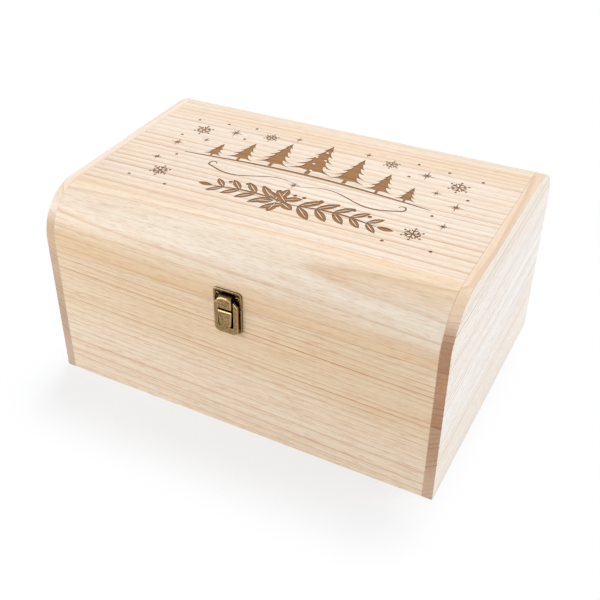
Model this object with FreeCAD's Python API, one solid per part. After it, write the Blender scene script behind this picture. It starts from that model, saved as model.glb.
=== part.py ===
import FreeCAD, Part
import os

from FreeCAD import Vector

# A wooden keepsake box with a hinged lid, rounded along both long top edges, and a brass hasp latch.
# Millimetres. X runs along the front, -Y is the front, +Z is up.
# The origin is the middle of the underside, midway between the outer faces of the front and back boards.

# Boards
box_width = 380.0
box_depth = 270.0
wall_height = 135.5
rim_gap = 0.3
lid_lip = 10.7
corner_radius = 43.5
board = 9.0
base_board = 6.0
edge_ease = 0.6

# Hinges, let into the rims at the back
hinge_inset = 75.0
hinge_length = 32.0
leaf_thickness = 1.0
leaf_margin = 1.0
barrel_radius = 2.4
barrel_gap = 0.3
pin_radius = 1.1
pin_clearance = 0.05
knuckle_gap = 0.2
mortise_clearance = 0.2
hinge_screw_spacing = 18.0
hinge_screw_length = 8.0
hinge_head_radius = 1.8

# Latch plates, pressed from sheet with a raised rim
latch_width = 27.0
plate_sheet = 0.8
plate_rim_width = 2.0
plate_rim_rise = 0.7
plate_rim_round = 0.5
plate_corner = 3.6
plate_inner_corner = 1.0
plate_margin = 0.4
keeper_height = 15.0
base_plate_height = 25.0

# Knuckle on the keeper plate, and the tongue on the base plate that the hasp snaps over
knuckle_width = 13.2
knuckle_height = 11.0
knuckle_out = 7.6
knuckle_face = 1.6
knuckle_clip_width = 3.8
knuckle_clip_height = 2.0
fold_inset = 0.6
fold_proud = 0.4
tongue_drop = 1.7
tongue_height = 15.4
tongue_foot_width = 10.8
tongue_corner = 2.4
tongue_out = 7.0
press_bevel = 0.8

# Hasp: a frame that hangs from a pin in the knuckle
hasp_width = 22.8
hasp_side_gap = 0.8
hasp_thickness = 2.3
hasp_back = 2.7
hasp_bar = 6.6
hasp_snap_gap = 1.6
hasp_corner = 5.0
hasp_window_corner = 1.4
hasp_shoulder = 3.8
hasp_bevel = 0.5
hasp_pivot_rise = 3.7
hasp_eye_clearance = 0.3
hasp_pin_grip = 1.2

# Screws
shank_radius = 0.95
shank_clearance = 0.05
latch_screw_length = 6.0
latch_head_radius = 1.9
latch_head_height = 0.9
latch_head_round = 0.5
latch_screw_inset = 4.0
keeper_screw_drop = 5.8
base_screw_rise = 3.9
recess_width = 0.75
recess_depth = 0.5

# Places worked out from the sizes above
half_width = box_width / 2
front_y = -box_depth / 2
back_y = box_depth / 2
inner_x = half_width - board
lid_floor = wall_height + rim_gap
tangent_height = lid_floor + lid_lip
lid_top = tangent_height + corner_radius
axis_y = back_y + barrel_gap + barrel_radius
axis_z = wall_height + rim_gap / 2
screw_row_y = back_y - board / 2
keeper_low = lid_floor + plate_margin
keeper_top = keeper_low + keeper_height
base_plate_top = wall_height - plate_margin
base_plate_low = base_plate_top - base_plate_height
tongue_top = base_plate_top - tongue_drop
tongue_low = tongue_top - tongue_height
hasp_inner = knuckle_width / 2 + hasp_side_gap
window_low = tongue_low - hasp_snap_gap
hasp_low = window_low - hasp_bar
pivot_out = hasp_back + hasp_thickness / 2
pivot_z = keeper_low + hasp_pivot_rise
eye_radius = pivot_out - plate_sheet - hasp_eye_clearance
X_AXIS = Vector(1, 0, 0)
OUTWARD = Vector(0, -1, 0)
TOUCH = 1e-4


def block(x0, x1, y0, y1, z0, z1):
    """A box between two corners."""
    return Part.makeBox(x1 - x0, y1 - y0, z1 - z0, Vector(x0, y0, z0))


def rod(radius, x0, x1, y, z):
    """A cylinder along X."""
    return Part.makeCylinder(radius, x1 - x0, Vector(x0, y, z), X_AXIS)


def quarter(centre_y, centre_z, radius, y_sign):
    """A quarter arc in the YZ plane, from the level of its centre up to its top."""
    low = Vector(0, centre_y + y_sign * radius, centre_z)
    top = Vector(0, centre_y, centre_z + radius)
    lean = radius * 0.5 ** 0.5
    middle = Vector(0, centre_y + y_sign * lean, centre_z + lean)
    return Part.Arc(low, middle, top).toShape()


def straight(start, end):
    return Part.LineSegment(start, end).toShape()


def along_x(edges, x0, x1):
    """Extrudes a closed YZ outline from x0 to x1."""
    wire = Part.Wire(Part.__sortEdges__(edges))
    face = Part.Face(wire)
    solid = face.extrude(Vector(x1 - x0, 0, 0))
    solid.translate(Vector(x0, 0, 0))
    return solid


def pressed(points, out_low, out_high):
    """Extrudes an outline given in (x, z) away from the front face of the box, between two distances."""
    corners = [Vector(x, front_y - out_low, z) for x, z in points]
    face = Part.Face(Part.makePolygon(corners + corners[:1]))
    return face.extrude(OUTWARD * (out_high - out_low))


def edges_at_out(shape, out):
    """Edges that lie wholly at one distance in front of the box."""
    y = front_y - out
    found = []
    for edge in shape.Edges:
        box = edge.BoundBox
        if abs(box.YMin - y) < TOUCH and abs(box.YMax - y) < TOUCH:
            found.append(edge)
    return found


def edges_along_out(shape, corners):
    """Edges that run straight out of the front face at the given (x, z) corners."""
    found = []
    for edge in shape.Edges:
        box = edge.BoundBox
        for x, z in corners:
            near = abs(box.Center.x - x) < TOUCH and abs(box.Center.z - z) < TOUCH
            if near and box.YLength > TOUCH:
                found.append(edge)
    return found


# Box boards

def base_panel():
    inner_y = back_y - board
    return block(-inner_x, inner_x, -inner_y, inner_y, 0, base_board)


def front_panel():
    panel = block(-inner_x, inner_x, front_y, front_y + board, 0, wall_height)
    return panel.cut(screw_holes(latch_base_places()))


def back_panel():
    panel = block(-inner_x, inner_x, back_y - board, back_y, 0, wall_height)
    for middle in hinge_middles():
        panel = panel.cut(mortise(middle, wall_height - leaf_thickness, wall_height))
        for x in hinge_screw_places(middle):
            panel = panel.cut(hinge_pilot(x, -1))
    return panel


def eased(panel, outer_x):
    """Rounds the edges of an end panel's outer face."""
    edges = []
    for edge in panel.Edges:
        box = edge.BoundBox
        on_face = abs(box.XMin - outer_x) < TOUCH and abs(box.XMax - outer_x) < TOUCH
        if on_face and box.ZMax > TOUCH and not on_saw_line(box):
            edges.append(edge)
    return panel.makeFillet(edge_ease, edges)


def on_saw_line(box):
    flat = box.ZLength < TOUCH
    return flat and (abs(box.ZMin - wall_height) < TOUCH or abs(box.ZMin - lid_floor) < TOUCH)


def end_panel(side):
    outer_x = side * half_width
    low_x = min(outer_x, side * inner_x)
    panel = block(low_x, low_x + board, front_y, back_y, 0, wall_height)
    return eased(panel, outer_x)


# Lid boards

def lid_top_panel():
    flat_y = back_y - corner_radius
    return block(-inner_x, inner_x, -flat_y, flat_y, lid_top - board, lid_top)


def lid_rail(y_sign):
    """A rounded long edge of the lid with its straight lip; y_sign is -1 at the front."""
    centre_y = y_sign * (back_y - corner_radius)
    outer_y = y_sign * back_y
    inner_y = y_sign * (back_y - board)
    outline = [
        straight(Vector(0, outer_y, lid_floor), Vector(0, outer_y, tangent_height)),
        quarter(centre_y, tangent_height, corner_radius, y_sign),
        straight(Vector(0, centre_y, lid_top), Vector(0, centre_y, lid_top - board)),
        quarter(centre_y, tangent_height, corner_radius - board, y_sign),
        straight(Vector(0, inner_y, tangent_height), Vector(0, inner_y, lid_floor)),
        straight(Vector(0, inner_y, lid_floor), Vector(0, outer_y, lid_floor)),
    ]
    return along_x(outline, -inner_x, inner_x)


def lid_front_rail():
    return lid_rail(-1).cut(screw_holes(keeper_places()))


def lid_back_rail():
    rail = lid_rail(1)
    for middle in hinge_middles():
        rail = rail.cut(mortise(middle, lid_floor, lid_floor + leaf_thickness))
        for x in hinge_screw_places(middle):
            rail = rail.cut(hinge_pilot(x, 1))
    return rail


def lid_end(side):
    outer_x = side * half_width
    low_x = min(outer_x, side * inner_x)
    flat_y = back_y - corner_radius
    outline = [
        straight(Vector(0, front_y, lid_floor), Vector(0, front_y, tangent_height)),
        quarter(-flat_y, tangent_height, corner_radius, -1),
        straight(Vector(0, -flat_y, lid_top), Vector(0, flat_y, lid_top)),
        quarter(flat_y, tangent_height, corner_radius, 1),
        straight(Vector(0, back_y, tangent_height), Vector(0, back_y, lid_floor)),
        straight(Vector(0, back_y, lid_floor), Vector(0, front_y, lid_floor)),
    ]
    return eased(along_x(outline, low_x, low_x + board), outer_x)


# Hinges

def hinge_middles():
    reach = half_width - hinge_inset
    return [-reach, reach]


def hinge_screw_places(middle):
    return [middle - hinge_screw_spacing / 2, middle + hinge_screw_spacing / 2]


def mortise(middle, z0, z1):
    reach = hinge_length / 2 + mortise_clearance
    inner_y = back_y - board + leaf_margin - mortise_clearance
    return block(middle - reach, middle + reach, inner_y, back_y, z0, z1)


def leaf_face(up):
    """Height of the face that a leaf shows to the other leaf; up is 1 on the lid."""
    return lid_floor if up > 0 else wall_height


def hinge_pilot(x, up):
    start = Vector(x, screw_row_y, leaf_face(up))
    return Part.makeCylinder(shank_radius + shank_clearance, hinge_screw_length, start, Vector(0, 0, up))


def knuckle_spans(middle):
    """The barrel's three knuckles along X, as pairs of ends."""
    share = hinge_length / 3
    start = middle - hinge_length / 2
    spans = []
    for index in range(3):
        low = start + index * share + (knuckle_gap / 2 if index else 0)
        high = start + (index + 1) * share - (knuckle_gap / 2 if index < 2 else 0)
        spans.append((low, high))
    return spans


def hinge_leaf(middle, up):
    """One leaf with its knuckles: the lid's leaf has the middle knuckle, the box's leaf the outer two."""
    face = leaf_face(up)
    z0, z1 = sorted((face, face + up * leaf_thickness))
    leaf = block(middle - hinge_length / 2, middle + hinge_length / 2,
                 back_y - board + leaf_margin, axis_y, z0, z1)
    spans = knuckle_spans(middle)
    own = spans[1:2] if up > 0 else spans[::2]
    others = spans[::2] if up > 0 else spans[1:2]
    for low, high in others:
        room = rod(barrel_radius + barrel_gap, low - knuckle_gap, high + knuckle_gap, axis_y, axis_z)
        leaf = leaf.cut(room)
    for low, high in own:
        leaf = leaf.fuse(rod(barrel_radius, low, high, axis_y, axis_z))
    bore = pin_radius + (pin_clearance if up > 0 else 0)
    leaf = leaf.cut(rod(bore, middle - hinge_length, middle + hinge_length, axis_y, axis_z))
    for x in hinge_screw_places(middle):
        leaf = leaf.cut(countersink(x, up))
    return leaf.removeSplitter()


def countersink(x, up):
    face = Vector(x, screw_row_y, leaf_face(up))
    into = Vector(0, 0, up)
    cone = Part.makeCone(hinge_head_radius + shank_clearance, shank_radius + shank_clearance,
                         leaf_thickness, face, into)
    return cone


def hinge_pin(middle):
    return rod(pin_radius, middle - hinge_length / 2, middle + hinge_length / 2, axis_y, axis_z)


def hinge_screw(x, up):
    face = Vector(x, screw_row_y, leaf_face(up))
    into = Vector(0, 0, up)
    screw = Part.makeCone(hinge_head_radius, shank_radius, leaf_thickness, face, into)
    screw = screw.fuse(Part.makeCylinder(shank_radius, hinge_screw_length, face, into))
    depth = up * recess_depth
    z0, z1 = sorted((face.z, face.z + depth))
    slot = block(x - recess_width / 2, x + recess_width / 2,
                 screw_row_y - hinge_head_radius, screw_row_y + hinge_head_radius, z0, z1)
    return screw.cut(slot)


def hinge_screws(up):
    screws = []
    for middle in hinge_middles():
        for x in hinge_screw_places(middle):
            screws.append(hinge_screw(x, up))
    return Part.makeCompound(screws)


# Latch

def plate_points(z0, z1):
    half = latch_width / 2
    return [(-half, z0), (half, z0), (half, z1), (-half, z1)]


def rounded_plate(inset, z0, z1, out_low, out_high, large_z):
    """A flat plate; the corners at large_z get the large radius, the two on the saw line the small one."""
    points = [(x - inset if x > 0 else x + inset, z + inset if z == z0 else z - inset)
              for x, z in plate_points(z0, z1)]
    plate = pressed(points, out_low, out_high)
    large = [point for point in points if abs(point[1] - large_z) <= inset + TOUCH]
    small = [point for point in points if point not in large]
    plate = plate.makeFillet(plate_corner - inset, edges_along_out(plate, large))
    return plate.makeFillet(plate_inner_corner, edges_along_out(plate, small))


def rimmed_plate(z0, z1, large_z):
    rim_out = plate_sheet + plate_rim_rise
    plate = rounded_plate(0, z0, z1, 0, rim_out, large_z)
    hollow = rounded_plate(plate_rim_width, z0, z1, plate_sheet, rim_out, large_z)
    plate = plate.cut(hollow)
    return plate.makeFillet(plate_rim_round, edges_at_out(plate, rim_out))


def screw_holes(places):
    """Holes in the wood and the sheet for the latch screws at the given (x, z) places."""
    tools = []
    for x, z in places:
        tools.append(Part.makeCylinder(shank_radius + shank_clearance, latch_screw_length + plate_sheet,
                                       Vector(x, front_y - plate_sheet, z), -OUTWARD))
    return Part.makeCompound(tools)


def keeper_places():
    x = latch_width / 2 - latch_screw_inset
    return [(-x, keeper_top - keeper_screw_drop), (x, keeper_top - keeper_screw_drop)]


def latch_base_places():
    x = latch_width / 2 - latch_screw_inset
    return [(-x, base_plate_low + base_screw_rise), (x, base_plate_low + base_screw_rise)]


def bevelled(shape, out):
    return shape.makeChamfer(press_bevel, edges_at_out(shape, out))


def keeper_knuckle():
    """A lip folded out of the plate: a core that takes the pin, a round fold on top and a bevelled face."""
    half = knuckle_width / 2
    top = keeper_low + knuckle_height
    clip_x = half - knuckle_clip_width
    clip_z = top - knuckle_clip_height
    points = [(-half, keeper_low), (half, keeper_low), (half, clip_z), (clip_x, top), (-clip_x, top),
              (-half, clip_z)]
    back = knuckle_out - knuckle_face
    face = bevelled(pressed(points, back, knuckle_out), knuckle_out)
    fold_radius = back / 2
    fold_z = top + fold_proud - fold_radius
    core_half = half - fold_inset
    core_points = [(-core_half, keeper_low), (core_half, keeper_low), (core_half, fold_z),
                   (-core_half, fold_z)]
    core = pressed(core_points, 0, back)
    fold = rod(fold_radius, -core_half, core_half, front_y - fold_radius, fold_z)
    return face.fuse(core).fuse(fold)


def latch_keeper_plate():
    plate = rimmed_plate(keeper_low, keeper_top, keeper_top).fuse(keeper_knuckle())
    bore = rod(pin_radius + pin_clearance, -latch_width, latch_width, front_y - pivot_out, pivot_z)
    plate = plate.cut(bore)
    return plate.cut(screw_holes(keeper_places())).removeSplitter()


def tongue_points(inset):
    head = knuckle_width / 2 - inset
    foot = tongue_foot_width / 2 - inset
    low = tongue_low + inset
    top = tongue_top - inset
    return [(-foot, low), (foot, low), (head, top), (-head, top)]


def latch_base_plate():
    points = tongue_points(0)
    tongue = pressed(points, 0, tongue_out)
    tongue = tongue.makeFillet(tongue_corner, edges_along_out(tongue, points[:2]))
    tongue = bevelled(tongue, tongue_out)
    plate = rimmed_plate(base_plate_low, base_plate_top, base_plate_low).fuse(tongue)
    hollow = pressed(tongue_points(2 * plate_sheet), 0, tongue_out - 2 * plate_sheet)
    return plate.cut(hollow).cut(screw_holes(latch_base_places())).removeSplitter()


def latch_hasp():
    half = hasp_width / 2
    eye_top = pivot_z + eye_radius
    shoulder_z = eye_top - hasp_shoulder
    front = hasp_back + hasp_thickness
    outer = [(-half, hasp_low), (half, hasp_low), (half, shoulder_z), (hasp_inner, eye_top),
             (-hasp_inner, eye_top), (-half, shoulder_z)]
    frame = pressed(outer, hasp_back, front)
    frame = frame.makeFillet(hasp_corner, edges_along_out(frame, outer[:2]))
    frame = frame.makeChamfer(hasp_bevel, edges_at_out(frame, front))
    window = pressed([(-hasp_inner, window_low), (hasp_inner, window_low),
                      (hasp_inner, eye_top), (-hasp_inner, eye_top)], hasp_back, front)
    low_corners = [(-hasp_inner, window_low), (hasp_inner, window_low)]
    window = window.makeFillet(hasp_window_corner, edges_along_out(window, low_corners))
    frame = frame.cut(window)
    keep = rod(eye_radius, -half, half, front_y - pivot_out, pivot_z)
    keep = keep.fuse(pressed([(-half, hasp_low), (half, hasp_low), (half, pivot_z), (-half, pivot_z)],
                             hasp_back, front))
    frame = frame.common(keep)
    return frame.cut(latch_hasp_pin()).removeSplitter()


def latch_hasp_pin():
    reach = hasp_inner + hasp_pin_grip
    return rod(pin_radius, -reach, reach, front_y - pivot_out, pivot_z)


def latch_screw(x, z):
    """A small domed screw with a cross recess, driven into the front of the box."""
    seat = Vector(x, front_y - plate_sheet, z)
    head = Part.makeCylinder(latch_head_radius, latch_head_height, seat, OUTWARD)
    tip = front_y - plate_sheet - latch_head_height
    rim = edges_at_out(head, plate_sheet + latch_head_height)
    head = head.makeFillet(latch_head_round, rim)
    screw = head.fuse(Part.makeCylinder(shank_radius, latch_screw_length, seat, -OUTWARD))
    arm = latch_head_radius - recess_width
    half = recess_width / 2
    level = block(x - arm, x + arm, tip, tip + recess_depth, z - half, z + half)
    upright = block(x - half, x + half, tip, tip + recess_depth, z - arm, z + arm)
    return screw.cut(level.fuse(upright))


def latch_screws(places):
    return Part.makeCompound([latch_screw(x, z) for x, z in places])


def nodes():
    """Every sub-part by the name of its node."""
    parts = {
        "base_panel": base_panel(),
        "front_panel": front_panel(),
        "back_panel": back_panel(),
        "left_end_panel": end_panel(-1),
        "right_end_panel": end_panel(1),
        "lid_top_panel": lid_top_panel(),
        "lid_front_rail": lid_front_rail(),
        "lid_back_rail": lid_back_rail(),
        "lid_left_end": lid_end(-1),
        "lid_right_end": lid_end(1),
        "hinge_box_screws": hinge_screws(-1),
        "hinge_lid_screws": hinge_screws(1),
        "latch_keeper_plate": latch_keeper_plate(),
        "latch_keeper_screws": latch_screws(keeper_places()),
        "latch_base_plate": latch_base_plate(),
        "latch_base_screws": latch_screws(latch_base_places()),
        "latch_hasp": latch_hasp(),
        "latch_hasp_pin": latch_hasp_pin(),
    }
    for side, middle in zip(("left", "right"), hinge_middles()):
        parts["hinge_" + side + "_box_leaf"] = hinge_leaf(middle, -1)
        parts["hinge_" + side + "_lid_leaf"] = hinge_leaf(middle, 1)
        parts["hinge_" + side + "_pin"] = hinge_pin(middle)
    return parts


os.makedirs("parts", exist_ok=True)
for name, shape in nodes().items():
    shape.exportStep("parts/" + name + ".step")
    volume = round(shape.Volume, 1)
    print(name, "solids", len(shape.Solids), "valid", shape.isValid(), "volume", volume)
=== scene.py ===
import math

import bmesh
import bpy
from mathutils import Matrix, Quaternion, Vector
from mathutils.geometry import delaunay_2d_cdt


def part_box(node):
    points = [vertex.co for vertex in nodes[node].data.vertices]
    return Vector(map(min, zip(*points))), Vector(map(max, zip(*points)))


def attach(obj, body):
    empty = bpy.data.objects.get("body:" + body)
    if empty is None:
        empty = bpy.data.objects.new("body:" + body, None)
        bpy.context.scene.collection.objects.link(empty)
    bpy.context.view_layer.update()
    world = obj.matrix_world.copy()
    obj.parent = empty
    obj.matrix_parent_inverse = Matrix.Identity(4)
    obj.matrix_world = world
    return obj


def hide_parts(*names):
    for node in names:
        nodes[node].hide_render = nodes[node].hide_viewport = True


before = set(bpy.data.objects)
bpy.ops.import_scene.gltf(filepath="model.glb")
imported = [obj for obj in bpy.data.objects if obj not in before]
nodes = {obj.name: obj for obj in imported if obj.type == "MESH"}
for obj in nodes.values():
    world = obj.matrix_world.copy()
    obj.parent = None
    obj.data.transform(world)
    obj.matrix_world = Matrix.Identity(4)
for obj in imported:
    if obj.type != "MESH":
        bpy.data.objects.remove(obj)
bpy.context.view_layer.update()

MM = 0.001


def tone(red, green, blue):
    """A colour given as it looks on screen, from 0 to 255, in the linear values that shaders use."""
    def linear(value):
        share = value / 255
        return share / 12.92 if share <= 0.04045 else ((share + 0.055) / 1.055) ** 2.4
    return (linear(red), linear(green), linear(blue), 1.0)


# Camera, from the perspective fit to the box's edges

camera_place = Vector((0.32708, -0.66361, 0.58772))
camera_azimuth = math.radians(30.84)
camera_elevation = math.radians(35.73)
camera_roll = math.radians(-1.95)
camera_sensor = 36.0
camera_lens = 55.73
camera_shift = 0.1

# Light and stage

sky_level = 0.48
sky_tint = (1.0, 0.985, 0.97, 1.0)
lamps = {
    "key_light": {"place": (-0.32, 1.10, 1.55), "size": 1.2, "power": 11.9, "tint": (1.0, 1.0, 1.0)},
    "side_light": {"place": (1.75, 0.15, 0.80), "size": 1.4, "power": 12.6, "tint": (0.92, 0.97, 1.0)},
    "fill_light": {"place": (-1.10, -1.05, 0.90), "size": 1.0, "power": 11.2, "tint": (1.0, 0.97, 0.94)},
}
light_aim = Vector((0.0, 0.0, 0.09))
floor_half = 6.0
floor_drop = 0.05 * MM
floor_colour = tone(243, 248, 255)
floor_roughness = 0.9
shadow_middle = (-0.01, -0.05)
shadow_half = (0.150, 0.115)
shadow_fade = 0.075
shadow_whitening = 0.50

# Wood: each board's colours, and how its growth rings lie. The pith is the middle of the tree, given across
# the grain, and the lean is how far the rings drift across the board for each metre along it. The wander is
# how far they stray from that. A board takes its warmer colour beyond its warm radius. Soft rise is the share
# of a ring's dark line that comes on slowly, and clusters say how faint the rings between strong ones are. A
# seed moves a board to other wood. A grain says how fine a pattern is: its scale along the fibres and in the
# two directions across them.

wood_roughness = (0.44, 0.58)
wood_sheen = 0.25
wood_sheen_roughness = 0.34
wood_relief = 0.06
wood_relief_depth = 0.25 * MM
warm_fade = 26.0 * MM
season_pace = 0.30
season_reach = 1.1
cluster_pace = 0.23
faintest_ring = 0.45
streak_strength = 0.20
fibre_strength = 0.20
fleck_strength = 0.26
pore_strength = 0.30
# Blush on an end board's edges: partly their own wood, partly painted shade against its side face.
edge_blush_and_shade = 0.6
end_zone_light = 0.16
end_speckle_light = 0.12
end_line_strength = 0.6
line_relief = -0.6
fibre_relief = 0.8
pore_relief = 0.5
wander_grain = (3.0, 11.0, 11.0)
ragged_grain = (9.0, 420.0, 420.0)
streak_grain = (7.0, 190.0, 1.0)
streaks_per_ring = 0.020
fibre_grain = (9.0, 700.0, 700.0)
fleck_grain = (85.0, 900.0, 900.0)
pore_grain = (150.0, 2300.0, 2300.0)
band_grain = (1.6, 17.0, 17.0)
end_zone_grain = (22.0, 22.0, 22.0)
end_speckle_grain = (300.0, 900.0, 900.0)
no_warm_zone = 9.0
top_board = {
    "Pale": tone(246, 233, 216), "Line": tone(196, 138, 78), "Blush": tone(242, 218, 187),
    "Pith": (0.0, 0.420, 0.120), "Lean": (0.0, 0.010, 0.0), "Ring width": 8.0 * MM, "Wander": 4.0 * MM,
    "Line strength": 0.85, "Soft rise": 0.50, "Clusters": 0.2, "Warm radius": no_warm_zone, "Seed": 1.7,
}
front_board = {
    "Pale": tone(249, 233, 208), "Line": tone(200, 126, 34), "Blush": tone(243, 218, 184),
    "Pith": (0.0, -0.030, -0.045), "Lean": (0.0, 0.0, -0.030), "Ring width": 4.4 * MM, "Wander": 2.0 * MM,
    "Line strength": 1.0, "Soft rise": 0.15, "Clusters": 0.6, "Warm radius": no_warm_zone, "Seed": 5.3,
}
back_board = {**front_board, "Pith": (0.0, 0.045, -0.050), "Lean": (0.0, 0.0, 0.020), "Seed": 8.9}
front_rail = {
    "Pale": tone(252, 241, 223), "Line": tone(200, 142, 76), "Blush": tone(241, 211, 173),
    "Pith": (0.0, -0.1775, 0.2694), "Lean": (0.0, 0.018, -0.026), "Ring width": 8.5 * MM, "Wander": 3.0 * MM,
    "Line strength": 0.45, "Soft rise": 0.30, "Clusters": 0.5, "Warm radius": 0.132, "Seed": 3.1,
}
back_rail = {
    "Pale": tone(247, 235, 219), "Line": tone(208, 162, 116), "Blush": tone(243, 224, 201),
    "Pith": (0.0, 0.1975, 0.2525), "Lean": (0.0, -0.020, 0.010), "Ring width": 6.0 * MM, "Wander": 3.0 * MM,
    "Line strength": 0.8, "Soft rise": 0.30, "Clusters": 0.5, "Warm radius": no_warm_zone, "Seed": 6.4,
}
end_board = {
    "Pale": tone(253, 249, 243), "Line": tone(180, 124, 72), "Blush": tone(250, 239, 224),
    "Pith": (0.0, 0.330, -0.210), "Lean": (0.0, 0.0, 0.010), "Ring width": 4.4 * MM, "Wander": 5.0 * MM,
    "Line strength": 1.0, "Soft rise": 0.20, "Clusters": 0.85, "Warm radius": no_warm_zone, "Seed": 2.2,
}
left_end_board = {**end_board, "Pith": (0.0, -0.360, -0.150), "Seed": 9.6}
base_board = {**back_board, "Pith": (0.0, 0.300, -0.100), "Seed": 4.5}
board_end_grain = tone(196, 156, 122)
# Edge tints: the top tint darkens and warms an end board's edges against its side face, partly wood, partly
# painted shade.
right_edges = {
    "top": tone(246, 230, 212), "lid": tone(170, 116, 74), "upper": tone(186, 140, 100),
    "lower": tone(197, 169, 151), "foot": tone(224, 210, 204), "glue": 0.7,
}
left_edges = {
    "top": tone(252, 243, 236), "lid": tone(219, 200, 172), "upper": tone(210, 193, 172),
    "lower": tone(198, 178, 163), "foot": tone(208, 190, 176), "glue": 0.25,
}
glue_line = tone(180, 138, 106)
glue_line_width = 0.7 * MM
glue_line_strength = (0.25, 0.45)
end_strip_width = 79.6 * MM
upper_strip_shift = (61.0 * MM, 137.0 * MM)
end_foot = (10.0 * MM, 60.0 * MM)

# Metal

brass_dark = tone(120, 96, 65)
brass_face = tone(178, 148, 104)
brass_side = tone(172, 122, 72)
brass_bright = tone(228, 202, 144)
# Near-black: soot in the hollows, painted shade on the plates' folds, and darkening of plate fields and screw
# flats.
brass_soot_and_shade = tone(24, 19, 14)
brass_roughness = (0.34, 0.48)
# How far the plates darken: in the field, and with painted shade on the folds.
plate_dark_and_shade_strength = 0.85
# How far screw heads darken on their flat faces.
screw_flat_darkening = 0.9
worn_edge_width = 0.55 * MM
mottle_grain = (650.0, 650.0, 650.0)
recess_reach = 5.0 * MM
plate_field = 0.95 * MM
plate_rim = 1.30 * MM
# The folds between these depths take painted shade.
folds_start = 1.60 * MM
folds_end = 5.60 * MM

# Engraving. The design is in millimetres from the middle of the lid. Firs, flakes, stars and dots are given
# for the right half, and the left half mirrors them. Baubles hang on the middle fir. Firs have x, foot,
# height, spread and tiers, and flakes and stars have x, y and reach.

engraving_depth = 0.35 * MM
burn_tint = tone(174, 138, 98)
# Darkest brown of the cuts, along their edges: partly scorch, partly painted shade.
burn_dark_and_shade = tone(98, 66, 38)
burn_and_shade_reach = 2.0 * MM
burn_roughness = 0.8
firs = ((0, 7, 61, 44, 5), (37, 6, 50, 35, 5), (69, 3, 38, 27, 4), (96, 0, 27, 20, 4))
baubles = ((0, 53), (-5, 41), (5, 38), (-2, 28), (10, 25), (-11, 23), (1, 15))
flakes = ((130, 44, 10.0), (122, -46, 10.0), (62, 58, 8.0))
stars = ((98, 52, 9.0), (139, 10, 8.0), (116, 26, 5.5), (140, -24, 6.5), (36, 66, 5.5))
middle_star = (0, -17, 6.5)
dots = ((84, 44), (114, 66), (144, 26), (126, -12), (104, -66), (144, -64), (84, 69), (146, 62))
dot_radius = 1.5
rise_half = 122
rise_width = 3.2
scroll_width = 1.7
stem_width = 2.4
stem_lift = 5.0
leaf_turn = math.radians(44)
berry_radius = 1.9


class Wiring:
    """Places and joins the nodes of one tree. A value is a socket to link, or a plain value to set."""

    def __init__(self, tree):
        self.tree = tree

    def feed(self, socket, value):
        if isinstance(value, bpy.types.NodeSocket):
            self.tree.links.new(value, socket)
        else:
            socket.default_value = value

    def node(self, kind, inputs, **settings):
        made = self.tree.nodes.new(kind)
        for name, value in settings.items():
            setattr(made, name, value)
        for key, value in inputs.items():
            self.feed(made.inputs[key], value)
        return made

    def math(self, operation, first, second=0.0):
        return self.node("ShaderNodeMath", {0: first, 1: second}, operation=operation).outputs[0]

    def vector(self, operation, first, second):
        return self.node("ShaderNodeVectorMath", {0: first, 1: second}, operation=operation).outputs[0]

    def split(self, vector):
        return list(self.node("ShaderNodeSeparateXYZ", {0: vector}).outputs)

    def join(self, x, y, z):
        return self.node("ShaderNodeCombineXYZ", {0: x, 1: y, 2: z}).outputs[0]

    def mix(self, factor, first, second, blend="MIX"):
        made = self.node("ShaderNodeMix", {}, data_type="RGBA", blend_type=blend)
        for place, value in ((0, factor), (6, first), (7, second)):
            self.feed(made.inputs[place], value)
        return made.outputs[2]

    def noise(self, place, stretch, detail=2.0, roughness=0.5):
        stretched = self.vector("MULTIPLY", place, stretch)
        inputs = {"Vector": stretched, "Scale": 1.0, "Detail": detail, "Roughness": roughness}
        return self.node("ShaderNodeTexNoise", inputs)

    def span(self, value, low, high, start=0.0, end=1.0):
        inputs = {0: value, 1: low, 2: high, 3: start, 4: end}
        return self.node("ShaderNodeMapRange", inputs, interpolation_type="SMOOTHSTEP").outputs[0]


def new_group(name, inputs, outputs):
    """A shader node group with named sockets: its wiring, its given values and its results."""
    tree = bpy.data.node_groups.new(name, "ShaderNodeTree")
    for label, kind in inputs:
        tree.interface.new_socket(label, in_out="INPUT", socket_type="NodeSocket" + kind)
    for label, kind in outputs:
        tree.interface.new_socket(label, in_out="OUTPUT", socket_type="NodeSocket" + kind)
    wiring = Wiring(tree)
    given = wiring.node("NodeGroupInput", {}).outputs
    results = wiring.node("NodeGroupOutput", {}).inputs
    return wiring, given, results


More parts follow.
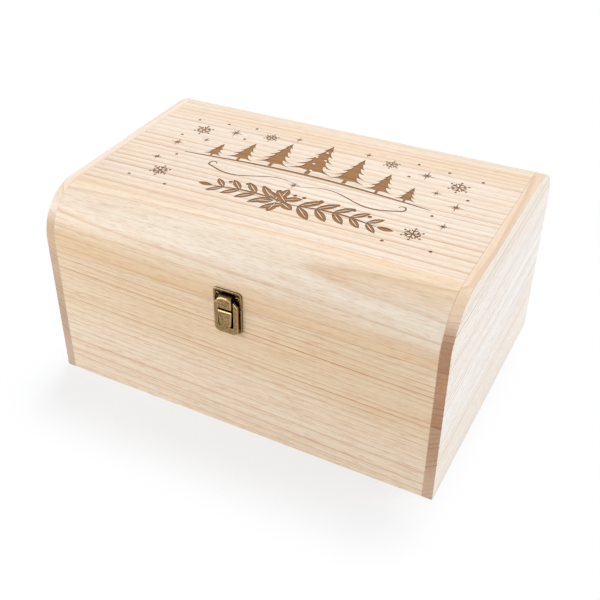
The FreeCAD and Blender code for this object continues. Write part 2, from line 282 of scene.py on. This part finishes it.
def make_solid_wood():
    """Growth rings round a pith, fibres, pores and broad tints, through the whole body of a board."""
    wiring, given, results = new_group(
        "solid_wood",
        [("Place", "Vector"), ("Pith", "Vector"), ("Lean", "Vector"), ("Ring width", "Float"),
         ("Wander", "Float"), ("Line strength", "Float"), ("Soft rise", "Float"), ("Clusters", "Float"),
         ("Warm radius", "Float"), ("Seed", "Float"),
         ("Pale", "Color"), ("Line", "Color"), ("Blush", "Color"), ("Edge", "Float"), ("Edge tint and shade", "Color"),
         ("End grain", "Float"), ("End tint", "Color"), ("Glue line", "Float")],
        [("Colour", "Color"), ("Roughness", "Float"), ("Height", "Float")],
    )
    shift = wiring.join(given["Seed"], given["Seed"], given["Seed"])
    place = wiring.vector("ADD", given["Place"], shift)
    along = wiring.split(given["Place"])[0]

    # Rings: distance from a pith that leans and wanders along the board
    drift = wiring.vector("MULTIPLY", wiring.join(along, along, along), given["Lean"])
    wavy = wiring.noise(place, wander_grain).outputs["Color"]
    wave = wiring.vector("SUBTRACT", wavy, (0.5, 0.5, 0.5))
    reach = wiring.math("MULTIPLY", given["Wander"], 2.0)
    wander = wiring.vector("MULTIPLY", wave, wiring.join(0.0, reach, reach))
    from_pith = wiring.vector("SUBTRACT", given["Place"], given["Pith"])
    from_pith = wiring.vector("SUBTRACT", from_pith, drift)
    from_pith = wiring.vector("ADD", from_pith, wander)
    across, through = wiring.split(from_pith)[1:]
    radius = wiring.math("SQRT", wiring.math("ADD", wiring.math("MULTIPLY", across, across),
                                             wiring.math("MULTIPLY", through, through)))
    warm_start = wiring.math("SUBTRACT", given["Warm radius"], warm_fade)
    warm = wiring.span(radius, warm_start, given["Warm radius"])
    count = wiring.math("DIVIDE", radius, given["Ring width"])
    seasons = wiring.node("ShaderNodeTexNoise", {
        "W": wiring.math("ADD", wiring.math("MULTIPLY", count, season_pace), given["Seed"]),
        "Scale": 1.0, "Detail": 1.0}, noise_dimensions="1D").outputs[0]
    count = wiring.math("ADD", count, wiring.math("MULTIPLY", seasons, season_reach))
    ring = wiring.math("FLOOR", count)
    lateness = wiring.math("FRACT", count)
    chance = wiring.node("ShaderNodeTexWhiteNoise", {"W": wiring.math("ADD", ring, given["Seed"])},
                         noise_dimensions="1D").outputs["Value"]

    # Late wood: darkens slowly through the ring, ends in a dark line and stops sharply. Some rings are faint,
    # and strong ones come in clusters.
    slow = wiring.math("MULTIPLY", wiring.span(lateness, 0.25, 0.95), given["Soft rise"])
    steep = wiring.math("MULTIPLY", wiring.span(lateness, 0.80, 0.93),
                        wiring.math("SUBTRACT", 1.0, given["Soft rise"]))
    rise = wiring.math("ADD", slow, steep)
    line = wiring.math("MULTIPLY", rise, wiring.span(lateness, 0.95, 1.0, 1.0, 0.0))
    line = wiring.math("MULTIPLY", line, wiring.span(chance, 0.0, 1.0, faintest_ring, 1.0))
    clusters = wiring.node("ShaderNodeTexNoise", {
        "W": wiring.math("ADD", wiring.math("MULTIPLY", ring, cluster_pace), given["Seed"]),
        "Scale": 1.0, "Detail": 1.0}, noise_dimensions="1D").outputs[0]
    fainter = wiring.math("MULTIPLY", given["Clusters"], wiring.span(clusters, 0.62, 0.32))
    line = wiring.math("MULTIPLY", line, wiring.math("SUBTRACT", 1.0, fainter))
    ragged = wiring.noise(place, ragged_grain, 2.0).outputs[0]
    line = wiring.math("MULTIPLY", line, wiring.span(ragged, 0.25, 0.65, 0.65, 1.0))

    # Fine streaks follow the rings, and fibres and pores run along the grain
    thread = wiring.join(along, wiring.math("MULTIPLY", count, streaks_per_ring), given["Seed"])
    streaks = wiring.span(wiring.noise(thread, streak_grain, 3.0, 0.6).outputs[0], 0.46, 0.74)
    fibres = wiring.noise(place, fibre_grain, 4.0, 0.65).outputs[0]
    flecks = wiring.span(wiring.noise(place, fleck_grain, 1.0).outputs[0], 0.52, 0.72)
    pores = wiring.span(wiring.noise(place, pore_grain, 1.0).outputs[0], 0.58, 0.74)
    bands = wiring.span(wiring.noise(place, band_grain, 2.0).outputs[0], 0.36, 0.70)

    colour = wiring.mix(wiring.math("MAXIMUM", bands, warm), given["Pale"], given["Blush"])
    colour = wiring.mix(wiring.math("MULTIPLY", line, given["Line strength"]), colour, given["Line"])
    colour = wiring.mix(wiring.math("MULTIPLY", streaks, streak_strength), colour, given["Line"])
    colour = wiring.mix(wiring.span(fibres, 0.42, 0.72, 0.0, fibre_strength), colour, given["Line"])
    colour = wiring.mix(wiring.math("MULTIPLY", flecks, fleck_strength), colour, given["Line"])
    colour = wiring.mix(wiring.math("MULTIPLY", pores, pore_strength), colour, given["Line"])

    # Edges, end grain with its own light and dark zones, and the glue line where two boards meet
    # Edges: tinted partly for their own wood and partly with painted shade against the side face.
    colour = wiring.mix(wiring.math("MULTIPLY", given["Edge"], edge_blush_and_shade), colour, given["Blush"])
    colour = wiring.mix(given["Edge"], colour, given["Edge tint and shade"], "MULTIPLY")
    broad = wiring.noise(place, end_zone_grain, 2.0).outputs[0]
    zones = wiring.span(broad, 0.35, 0.65, 0.0, end_zone_light)
    fine = wiring.noise(place, end_speckle_grain, 3.0).outputs[0]
    speckle = wiring.span(fine, 0.3, 0.7, 0.0, end_speckle_light)
    end_tint = wiring.mix(wiring.math("ADD", zones, speckle), given["End tint"], (1.0, 1.0, 1.0, 1.0))
    end_lines = wiring.math("MULTIPLY", line, end_line_strength)
    end_tint = wiring.mix(end_lines, end_tint, given["Line"], "MULTIPLY")
    colour = wiring.mix(given["End grain"], colour, end_tint, "MULTIPLY")
    colour = wiring.mix(given["Glue line"], colour, glue_line, "MULTIPLY")
    wiring.feed(results["Colour"], colour)
    wiring.feed(results["Roughness"], wiring.span(fibres, 0.3, 0.7, *wood_roughness))
    relief = wiring.math("ADD", wiring.math("MULTIPLY", line, line_relief),
                         wiring.math("MULTIPLY", fibres, fibre_relief))
    relief = wiring.math("SUBTRACT", relief, wiring.math("MULTIPLY", pores, pore_relief))
    wiring.feed(results["Height"], relief)
    return wiring.tree


def make_worn_metal():
    """Masks for metal that is rubbed bright along its edges and bevels and keeps its soot in the corners."""
    wiring, given, results = new_group(
        "worn_metal",
        [("Edge width", "Float"), ("Recess reach", "Float")],
        [("Edge", "Float"), ("Side", "Float"), ("Flat", "Float"), ("Recess", "Float"), ("Mottle", "Float")],
    )
    coordinates = wiring.node("ShaderNodeTexCoord", {}).outputs
    mottle = wiring.noise(coordinates["Object"], mottle_grain, 4.0, 0.7).outputs[0]
    facing = wiring.node("ShaderNodeNewGeometry", {}).outputs["Normal"]
    rounded = wiring.node("ShaderNodeBevel", {"Radius": given["Edge width"]}, samples=6).outputs[0]
    turned = wiring.node("ShaderNodeVectorMath", {0: facing, 1: rounded}, operation="DOT_PRODUCT").outputs[1]
    sideways, outward = wiring.split(wiring.vector("ABSOLUTE", coordinates["Normal"], (0.0, 0.0, 0.0)))[:2]
    bevel = wiring.math("MULTIPLY", wiring.span(outward, 0.40, 0.60), wiring.span(outward, 0.95, 0.80))
    edge = wiring.math("MAXIMUM", bevel, wiring.span(turned, 0.998, 0.93))
    edge = wiring.math("MULTIPLY", edge, wiring.span(sideways, 0.45, 0.70, 1.0, 0.45))
    wiring.feed(results["Edge"], wiring.math("MULTIPLY", edge, wiring.span(mottle, 0.25, 0.60, 0.45, 0.75)))
    wiring.feed(results["Side"], wiring.span(sideways, 0.4, 0.8))
    wiring.feed(results["Flat"], wiring.span(outward, 0.93, 0.99))
    shade = wiring.node("ShaderNodeAmbientOcclusion", {"Distance": given["Recess reach"]},
                        samples=8, only_local=False).outputs["AO"]
    wiring.feed(results["Recess"], wiring.span(shade, 0.78, 0.30))
    wiring.feed(results["Mottle"], mottle)
    return wiring.tree


solid_wood = make_solid_wood()
worn_metal = make_worn_metal()


def new_material(name):
    """A material with an empty Principled shader: its wiring and the shader's inputs."""
    material = bpy.data.materials.new(name)
    material.use_nodes = True
    wiring = Wiring(material.node_tree)
    shader = material.node_tree.nodes["Principled BSDF"]
    return material, wiring, shader.inputs


def board_place(wiring, grain_axis):
    """A point of the board with its grain turned to the first axis."""
    place = wiring.node("ShaderNodeTexCoord", {}).outputs["Object"]
    if grain_axis == 0:
        return place
    x, y, z = wiring.split(place)
    return wiring.join(y, x, z)


def glued_strips(wiring, place):
    """Moves the upper of an end board's two glued strips to wood of its own."""
    along, across, height = wiring.split(place)
    upper = wiring.math("GREATER_THAN", height, end_strip_width)
    aside = wiring.math("ADD", across, wiring.math("MULTIPLY", upper, upper_strip_shift[0]))
    moved = wiring.math("ADD", height, wiring.math("MULTIPLY", upper, upper_strip_shift[1]))
    return wiring.join(along, aside, moved)


def facing_axes(wiring):
    """How squarely the surface faces along each axis."""
    normal = wiring.node("ShaderNodeTexCoord", {}).outputs["Normal"]
    return wiring.split(wiring.vector("ABSOLUTE", normal, (0.0, 0.0, 0.0)))


def near(wiring, value, line):
    """1 within the width of a glue line, fading to 0 beside it."""
    away = wiring.math("ABSOLUTE", wiring.math("SUBTRACT", value, line))
    return wiring.span(away, glue_line_width, 0.4 * glue_line_width)


def wood_nodes(wiring, board, node):
    """Wood with its grain along X, and glue lines where the node meets the end boards."""
    place = board_place(wiring, 0)
    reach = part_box(node)[1].x
    along = wiring.split(place)[0]
    joint = near(wiring, wiring.math("ABSOLUTE", along), reach)
    joint = wiring.math("MULTIPLY", joint, wiring.span(along, -reach, reach, *glue_line_strength))
    end = wiring.span(facing_axes(wiring)[0], 0.45, 0.90)
    inputs = {"Place": place, "Glue line": joint, "End grain": end, "End tint": board_end_grain, **board}
    return wiring.node("ShaderNodeGroup", inputs, node_tree=solid_wood).outputs


def front_edge_tint(wiring, height, upper, edges):
    """Tint of an end board's front edge: paler at the foot, and its own in each strip and on the lid."""
    lower = wiring.mix(wiring.span(height, *end_foot), edges["foot"], edges["lower"])
    strips = wiring.mix(upper, lower, edges["upper"])
    above = wiring.math("GREATER_THAN", height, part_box("right_end_panel")[1].z)
    return wiring.mix(above, strips, edges["lid"])


def end_wood_nodes(wiring, board, edges):
    """Wood of an end board: grain along Y, glued from two strips, with end grain in front."""
    place = board_place(wiring, 1)
    height = wiring.split(place)[2]
    outward, forward = facing_axes(wiring)[:2]
    end = wiring.span(forward, 0.70, 1.0)
    upper = wiring.math("GREATER_THAN", height, end_strip_width)
    joint = wiring.math("MULTIPLY", near(wiring, height, end_strip_width), edges["glue"])
    inputs = {"Place": glued_strips(wiring, place), "End grain": end,
              "End tint": front_edge_tint(wiring, height, upper, edges),
              "Glue line": wiring.math("MULTIPLY", joint, end),
              # Every face but the side face takes the edge tint: partly the edges' own wood, partly painted
              # shade.
              "Edge": wiring.span(outward, 0.8, 0.3), "Edge tint and shade": edges["top"], **board}
    return wiring.node("ShaderNodeGroup", inputs, node_tree=solid_wood).outputs


def sanded_wood(name, make_nodes, *choices):
    """A bare sanded wood, from the nodes of one kind of board."""
    material, wiring, shader = new_material(name)
    wood = make_nodes(wiring, *choices)
    wiring.feed(shader["Base Color"], wood["Colour"])
    wiring.feed(shader["Roughness"], wood["Roughness"])
    shader["Coat Weight"].default_value = wood_sheen
    shader["Coat Roughness"].default_value = wood_sheen_roughness
    inputs = {"Height": wood["Height"], "Strength": wood_relief, "Distance": wood_relief_depth}
    relief = wiring.node("ShaderNodeBump", inputs)
    wiring.feed(shader["Normal"], relief.outputs[0])
    return material


def burnt_material(name, board):
    """The engraved wood: scorched brown, darkest along the cut edges from scorch and painted shade."""
    material, wiring, shader = new_material(name)
    wood = wood_nodes(wiring, board, "lid_top_panel")
    scorched = wiring.mix(1.0, wood["Colour"], burn_tint, "MULTIPLY")
    # Darker towards the cut walls: partly scorch, partly painted shade.
    shade = wiring.node("ShaderNodeAmbientOcclusion", {"Distance": burn_and_shade_reach}, samples=8).outputs["AO"]
    edge = wiring.span(shade, 0.97, 0.60)
    wiring.feed(shader["Base Color"], wiring.mix(edge, scorched, burn_dark_and_shade))
    shader["Roughness"].default_value = burn_roughness
    return material


def plate_dark_and_shade(wiring):
    """Darkening of a latch plate: its field inside the rim, and painted shade behind the faces standing out
    from it.
    """
    place = wiring.node("ShaderNodeTexCoord", {}).outputs["Object"]
    out = wiring.math("SUBTRACT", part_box("front_panel")[0].y, wiring.split(place)[1])
    field = wiring.span(out, plate_rim, plate_field)
    folds = wiring.math("MULTIPLY", wiring.math("GREATER_THAN", out, folds_start),
                        wiring.math("LESS_THAN", out, folds_end))
    return wiring.math("MAXIMUM", field, folds)


def brass_material(name, dark_and_shade_of=None, flat_darkening=0.0):
    """Antiqued brass: olive faces, orange sides, bright worn edges, soot where fingers never reach, and
    chosen darkening.
    """
    material, wiring, shader = new_material(name)
    inputs = {"Edge width": worn_edge_width, "Recess reach": recess_reach}
    worn = wiring.node("ShaderNodeGroup", inputs, node_tree=worn_metal).outputs
    face = wiring.mix(wiring.span(worn["Mottle"], 0.38, 0.64), brass_dark, brass_face)
    face = wiring.mix(worn["Side"], face, brass_side)
    face = wiring.mix(worn["Edge"], face, brass_bright)
    # A plate darkens in its field and takes painted shade on its folds.
    if dark_and_shade_of:
        face = wiring.mix(wiring.math("MULTIPLY", dark_and_shade_of(wiring), plate_dark_and_shade_strength), face, brass_soot_and_shade)
    # A screw head darkens on its flat faces.
    if flat_darkening:
        face = wiring.mix(wiring.math("MULTIPLY", worn["Flat"], flat_darkening), face, brass_soot_and_shade)
    wiring.feed(shader["Base Color"], wiring.mix(worn["Recess"], face, brass_soot_and_shade))
    wiring.feed(shader["Roughness"], wiring.span(worn["Mottle"], 0.3, 0.7, *brass_roughness))
    shader["Metallic"].default_value = 1.0
    return material


def dress(material, *names):
    """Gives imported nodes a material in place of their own."""
    for name in names:
        slots = nodes[name].data.materials
        slots.clear()
        slots.append(material)


# The engraved design: outlines on the lid, in millimetres, x to the right and y to the back. Cuts may
# overlap, and an island inside a cut stays uncut.

def circle(x, y, radius, points=16):
    """A round dot."""
    turns = [2 * math.pi * i / points for i in range(points)]
    return [(x + radius * math.cos(t), y + radius * math.sin(t)) for t in turns]


def sparkle(x, y, reach):
    """An eight-pointed star with four long rays."""
    radii = [reach, 0.20 * reach, 0.55 * reach, 0.20 * reach] * 4
    turns = [math.pi / 2 + math.pi * i / 8 for i in range(16)]
    return [(x + r * math.cos(t), y + r * math.sin(t)) for r, t in zip(radii, turns)]


def stroke(points, widths):
    """The outline of a line drawn through the points, with its width at each of them."""
    left, right = [], []
    for i, (x, y) in enumerate(points):
        x0, y0 = points[max(i - 1, 0)]
        x1, y1 = points[min(i + 1, len(points) - 1)]
        length = math.hypot(x1 - x0, y1 - y0)
        nx, ny = (y0 - y1) / length, (x1 - x0) / length
        half = widths[i] / 2
        left.append((x + nx * half, y + ny * half))
        right.append((x - nx * half, y - ny * half))
    return left + right[::-1]


def bar(x, y, angle, start, end, width):
    """A straight stroke on a ray from a middle point."""
    dx, dy = math.cos(angle), math.sin(angle)
    return stroke([(x + dx * start, y + dy * start), (x + dx * end, y + dy * end)], [width, width])


def snowflake(x, y, reach):
    """Six arms, each with a pair of twigs and a bead at its tip."""
    width = 0.13 * reach
    outlines = []
    for i in range(6):
        angle = math.pi / 6 + math.pi * i / 3
        outlines.append(bar(x, y, angle, 0.0, 0.72 * reach, width))
        fork_x = x + 0.40 * reach * math.cos(angle)
        fork_y = y + 0.40 * reach * math.sin(angle)
        for side in (-1, 1):
            outlines.append(bar(fork_x, fork_y, angle + side * math.pi / 3.6, 0.0, 0.36 * reach, width))
        tip_x = x + 0.90 * reach * math.cos(angle)
        tip_y = y + 0.90 * reach * math.sin(angle)
        outlines.append(circle(tip_x, tip_y, 0.11 * reach, 10))
    return outlines


def leaf(x, y, angle, length, width, points=7):
    """A pointed leaf that starts at x, y."""
    upper, lower = [], []
    for i in range(points + 1):
        share = i / points
        half = 0.5 * width * math.sin(math.pi * share) ** 0.8 if 0 < i < points else 0.0
        for side, row in ((1, upper), (-1, lower)):
            px, py = share * length, side * half
            row.append((x + px * math.cos(angle) - py * math.sin(angle),
                        y + px * math.sin(angle) + py * math.cos(angle)))
    return upper + lower[-2:0:-1]


def bend(start, middle, end, points=4):
    """Points along a curve from start to end, pulled towards a middle point, without the start itself."""
    row = []
    for i in range(1, points + 1):
        s = i / points
        weights = ((1 - s) ** 2, 2 * s * (1 - s), s ** 2)
        row.append(tuple(sum(w * p[k] for w, p in zip(weights, (start, middle, end))) for k in (0, 1)))
    return row


def fir(x, foot, height, spread, tiers):
    """A fir with drooping tiers and a short trunk."""
    trunk = 0.10 * height
    crown = height - trunk
    right = [(0.0, height)]
    for i in range(tiers):
        share = (i + 1) / tiers
        low = trunk + crown * (1 - share ** 0.92)
        reach = 0.5 * spread * share ** 0.9
        droop = 0.035 * height
        start = right[-1]
        right += bend(start, (0.42 * reach, low + 0.30 * (start[1] - low)), (reach, low))
        right += bend((reach, low), (0.75 * reach, low + 0.2 * droop), (0.48 * reach, low + droop))
    half = 0.05 * spread
    right += [(half, trunk + 0.5 * droop), (half, 0.0)]
    left = [(-px, py) for px, py in right[:0:-1]]
    return [(x + px, foot + py) for px, py in right + left]


def arch(x0, x1, height, rise, points=24):
    """Points along a shallow arch."""
    shares = [i / points for i in range(points + 1)]
    return [(x0 + (x1 - x0) * s, height + rise * math.sin(math.pi * s)) for s in shares]


def tapered(count, width):
    """Widths that swell in the middle of a stroke and thin out at its ends."""
    return [0.25 * width + 0.75 * width * math.sin(math.pi * i / (count - 1)) for i in range(count)]


def scroll(side, x, y, reach, curl):
    """A long flourish that ends in a curl, to the left or right."""
    points = []
    for i in range(20):
        share = i / 19
        points.append((x + side * reach * share, y + 0.07 * reach * math.sin(2 * math.pi * share)))
    end_x, end_y = points[-1]
    for i in range(1, 22):
        turn = 1.55 * math.pi * i / 21
        radius = curl * (1 - 0.55 * i / 21)
        points.append((end_x + side * radius * math.sin(turn), end_y + curl - radius * math.cos(turn)))
    return stroke(points, tapered(len(points), scroll_width))


def vein(x, y, angle, length):
    """The uncut middle line of a large leaf."""
    dx, dy = math.cos(angle), math.sin(angle)
    points = [(x + dx * length * s, y + dy * length * s) for s in (0.12, 0.45, 0.80)]
    return stroke(points, [0.5, 1.0, 0.4])


def sprig(side, x, y, reach, pairs):
    """A leafy twig to the left or right, with leaves in pairs and a berry at each pair: cuts and islands."""
    stem = [(x + side * reach * i / 16, y + stem_lift * math.sin(math.pi * i / 16)) for i in range(17)]
    cuts, islands = [stroke(stem, tapered(len(stem), stem_width))], []
    for i in range(pairs):
        share = (i + 0.35) / pairs
        foot_x = x + side * reach * share
        foot_y = y + stem_lift * math.sin(math.pi * share)
        length = 25.0 - 9.0 * share
        for turn in (-1, 1):
            angle = turn * leaf_turn
            if side < 0:
                angle = math.pi - angle
            cuts.append(leaf(foot_x, foot_y, angle, length, 0.36 * length))
            islands.append(vein(foot_x, foot_y, angle, length))
        cuts.append(circle(foot_x - side * 1.0, foot_y + 0.62 * length, berry_radius))
    tip = 0.0 if side > 0 else math.pi
    cuts.append(leaf(x + side * reach, y, tip, 15.0, 6.0))
    return cuts, islands


def winter_flower(x, y, petals, length):
    """A flower of pointed leaves round three berries: cuts and islands."""
    cuts, islands = [], []
    for i in range(petals):
        angle = math.pi / 2 + 2 * math.pi * i / petals
        foot_x = x + 4.0 * math.cos(angle)
        foot_y = y + 4.0 * math.sin(angle)
        cuts.append(leaf(foot_x, foot_y, angle, length, 0.52 * length))
        islands.append(vein(foot_x, foot_y, angle, length))
    for i in range(3):
        angle = math.pi / 6 + 2 * math.pi * i / 3
        cuts.append(circle(x + 1.8 * math.cos(angle), y + 1.8 * math.sin(angle), 1.3, 12))
    return cuts, islands


def winter_design():
    """A stand of firs on a rise, a leafy garland in front of it, and stars and snowflakes round both."""
    cuts, islands = winter_flower(0, -46, 6, 17.0)
    for x, foot, height, spread, tiers in firs:
        for side in ((1,) if x == 0 else (-1, 1)):
            cuts.append(fir(side * x, foot, height, spread, tiers))
    rise = arch(-rise_half, rise_half, -4, 9)
    cuts.append(stroke(rise, tapered(len(rise), rise_width)))
    for side in (-1, 1):
        cuts.append(scroll(side, 7, -17, 92, 5.0))
        more_cuts, more_islands = sprig(side, 14, -49, 78, 5)
        cuts += more_cuts
        islands += more_islands
        for x, y, reach in flakes:
            cuts += snowflake(side * x, y, reach)
        for x, y, reach in stars:
            cuts.append(sparkle(side * x, y, reach))
        for x, y in dots:
            cuts.append(circle(side * x, y, dot_radius, 12))
    cuts.append(sparkle(*middle_star))
    for x, y in baubles:
        islands.append(circle(x, y, dot_radius, 12))
    return cuts, islands


def inside(outline, x, y):
    """Whether a point lies inside an outline."""
    found = False
    x0, y0 = outline[-1]
    for x1, y1 in outline:
        if (y0 > y) != (y1 > y) and x < x0 + (x1 - x0) * (y - y0) / (y1 - y0):
            found = not found
        x0, y0 = x1, y1
    return found


def within(boxes, x, y):
    """Whether a point lies inside any of the outlines that come with their boxes."""
    for outline, low_x, high_x, low_y, high_y in boxes:
        if low_x < x < high_x and low_y < y < high_y and inside(outline, x, y):
            return True
    return False


def boxed(outlines):
    """Each outline with the box round it."""
    rows = []
    for outline in outlines:
        xs = [x for x, y in outline]
        ys = [y for x, y in outline]
        rows.append((outline, min(xs), max(xs), min(ys), max(ys)))
    return rows


def triangulate(outlines):
    """Splits a flat area into triangles that follow every outline: its points and its triangles."""
    points, edges = [], []
    for outline in outlines:
        first = len(points)
        points += [Vector(p) for p in outline]
        count = len(outline)
        edges += [(first + i, first + (i + 1) % count) for i in range(count)]
    found = delaunay_2d_cdt(points, edges, [], 0, 1e-5)
    return found[0], found[2]


def engraved_board(name, node, cuts, islands):
    """The lid's top board, with the design cut into its upper face."""
    low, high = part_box(node)
    corners = [(low.x, low.y), (high.x, low.y), (high.x, high.y), (low.x, high.y)]
    rim = [(x / MM, y / MM) for x, y in corners]
    points, triangles = triangulate([rim] + cuts + islands)
    cut_boxes, island_boxes = boxed(cuts), boxed(islands)
    mesh = bmesh.new()
    made = {}

    def corner(index, height):
        key = (index, height)
        if key not in made:
            made[key] = mesh.verts.new((points[index].x * MM, points[index].y * MM, height))
        return made[key]

    floor_height = high.z - engraving_depth
    level = {}
    for triangle in triangles:
        x = sum(points[i].x for i in triangle) / 3
        y = sum(points[i].y for i in triangle) / 3
        cut = within(cut_boxes, x, y) and not within(island_boxes, x, y)
        height = floor_height if cut else high.z
        face = mesh.faces.new([corner(i, height) for i in triangle])
        face.material_index = 1 if cut else 0
        for i in range(3):
            level[triangle[i], triangle[(i + 1) % 3]] = height
    for (first, second), height in level.items():
        other = level.get((second, first))
        if other is None:
            mesh.faces.new([corner(second, height), corner(first, height),
                            corner(first, low.z), corner(second, low.z)])
        elif height > other:
            wall = mesh.faces.new([corner(second, height), corner(first, height),
                                   corner(first, other), corner(second, other)])
            wall.material_index = 1
    rim_edges = [edge for edge in mesh.edges if edge.is_boundary]
    bmesh.ops.contextual_create(mesh, geom=rim_edges)
    bmesh.ops.recalc_face_normals(mesh, faces=mesh.faces)
    data = bpy.data.meshes.new(name)
    mesh.to_mesh(data)
    mesh.free()
    board = bpy.data.objects.new(name, data)
    bpy.context.scene.collection.objects.link(board)
    return board


def make_materials():
    """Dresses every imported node, and gives the two woods of the engraved board."""
    top = sanded_wood("top_board_wood", wood_nodes, top_board, "lid_top_panel")
    burnt = burnt_material("burnt_wood", top_board)
    boards = {"front_panel": front_board, "back_panel": back_board, "lid_front_rail": front_rail,
              "lid_back_rail": back_rail, "base_panel": base_board}
    for node, board in boards.items():
        dress(sanded_wood(node + "_wood", wood_nodes, board, node), node)
    right = sanded_wood("right_end_wood", end_wood_nodes, end_board, right_edges)
    dress(right, "right_end_panel", "lid_right_end")
    left = sanded_wood("left_end_wood", end_wood_nodes, left_end_board, left_edges)
    dress(left, "left_end_panel", "lid_left_end")
    dress(top, "lid_top_panel")
    dress(brass_material("plate_brass", plate_dark_and_shade), "latch_keeper_plate", "latch_base_plate")
    aged = brass_material("antique_brass")
    dress(aged, "latch_hasp", "latch_hasp_pin")
    for side in ("left", "right"):
        dress(aged, f"hinge_{side}_box_leaf", f"hinge_{side}_lid_leaf", f"hinge_{side}_pin")
    screws = brass_material("screw_brass", flat_darkening=screw_flat_darkening)
    dress(screws, "latch_keeper_screws", "latch_base_screws", "hinge_box_screws", "hinge_lid_screws")
    return top, burnt


def make_engraving(top, burnt):
    """Puts the engraved board in the place of the lid's plain one."""
    cuts, islands = winter_design()
    board = engraved_board("engraved_lid_board", "lid_top_panel", cuts, islands)
    board.data.materials.append(top)
    board.data.materials.append(burnt)
    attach(board, "lid")
    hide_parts("lid_top_panel")


def seen_directly(wiring):
    """1 where the eye, a reflection or glass sees the surface, and 0 for the light that it gives."""
    path = wiring.node("ShaderNodeLightPath", {}).outputs
    seen = wiring.math("MAXIMUM", path["Is Camera Ray"], path["Is Glossy Ray"])
    return wiring.math("MAXIMUM", seen, path["Is Transmission Ray"])


def shadow_away(wiring):
    """How far a point of the floor is from the patch that keeps the shadow."""
    place = wiring.node("ShaderNodeTexCoord", {}).outputs["Object"]
    from_middle = wiring.vector("SUBTRACT", place, (*shadow_middle, 0.0))
    aside = wiring.vector("ABSOLUTE", from_middle, (0.0, 0.0, 0.0))
    beyond = wiring.vector("SUBTRACT", aside, (*shadow_half, 1.0))
    beyond = wiring.vector("MAXIMUM", beyond, (0.0, 0.0, 0.0))
    return wiring.node("ShaderNodeVectorMath", {0: beyond}, operation="LENGTH").outputs["Value"]


def make_floor():
    """A white floor that keeps a pale shadow round the box."""
    data = bpy.data.meshes.new("floor")
    corners = [(-floor_half, -floor_half), (floor_half, -floor_half), (floor_half, floor_half),
               (-floor_half, floor_half)]
    data.from_pydata([(x, y, -floor_drop) for x, y in corners], [], [(0, 1, 2, 3)])
    floor = bpy.data.objects.new("floor", data)
    bpy.context.scene.collection.objects.link(floor)
    material, wiring, shader = new_material("floor_white")
    shader["Base Color"].default_value = floor_colour
    shader["Roughness"].default_value = floor_roughness
    shader["Specular IOR Level"].default_value = 0.0
    white = wiring.node("ShaderNodeEmission", {"Color": (1.0, 1.0, 1.0, 1.0), "Strength": 1.0})
    share = wiring.span(shadow_away(wiring), 0.0, shadow_fade, shadow_whitening, 1.0)
    share = wiring.math("MULTIPLY", seen_directly(wiring), share)
    tree = material.node_tree
    lit = tree.nodes["Principled BSDF"].outputs[0]
    mixed = wiring.node("ShaderNodeMixShader", {0: share, 1: lit, 2: white.outputs[0]})
    wiring.feed(tree.nodes["Material Output"].inputs["Surface"], mixed.outputs[0])
    data.materials.append(material)


def make_sky():
    """A soft even sky that looks white to the eye."""
    world = bpy.data.worlds.new("studio")
    world.use_nodes = True
    bpy.context.scene.world = world
    wiring = Wiring(world.node_tree)
    soft = world.node_tree.nodes["Background"]
    soft.inputs["Color"].default_value = sky_tint
    soft.inputs["Strength"].default_value = sky_level
    white = wiring.node("ShaderNodeBackground", {"Color": (1.0, 1.0, 1.0, 1.0), "Strength": 1.0})
    inputs = {0: seen_directly(wiring), 1: soft.outputs[0], 2: white.outputs[0]}
    mixed = wiring.node("ShaderNodeMixShader", inputs)
    wiring.feed(world.node_tree.nodes["World Output"].inputs["Surface"], mixed.outputs[0])


def make_lamp(name, place, size, power, tint):
    """A round soft lamp that points at the box."""
    data = bpy.data.lights.new(name, "AREA")
    data.shape = "DISK"
    data.size = size
    data.energy = power
    data.color = tint
    lamp = bpy.data.objects.new(name, data)
    lamp.location = place
    lamp.rotation_mode = "QUATERNION"
    lamp.rotation_quaternion = (light_aim - lamp.location).to_track_quat("-Z", "Y")
    bpy.context.scene.collection.objects.link(lamp)


def make_camera():
    """A camera at the photograph's viewing angle."""
    data = bpy.data.cameras.new("camera")
    data.sensor_width = camera_sensor
    data.lens = camera_lens
    data.shift_x = camera_shift
    camera = bpy.data.objects.new("camera", data)
    level = math.cos(camera_elevation)
    towards = Vector((math.sin(camera_azimuth) * level, -math.cos(camera_azimuth) * level,
                      math.sin(camera_elevation)))
    rolled = Quaternion((0.0, 0.0, 1.0), camera_roll)
    camera.location = camera_place
    camera.rotation_mode = "QUATERNION"
    camera.rotation_quaternion = (-towards).to_track_quat("-Z", "Y") @ rolled
    bpy.context.scene.collection.objects.link(camera)
    bpy.context.scene.camera = camera


make_camera()
make_floor()
make_sky()
for name, values in lamps.items():
    make_lamp(name, **values)
make_engraving(*make_materials())
bpy.context.scene.view_settings.view_transform = "Standard"
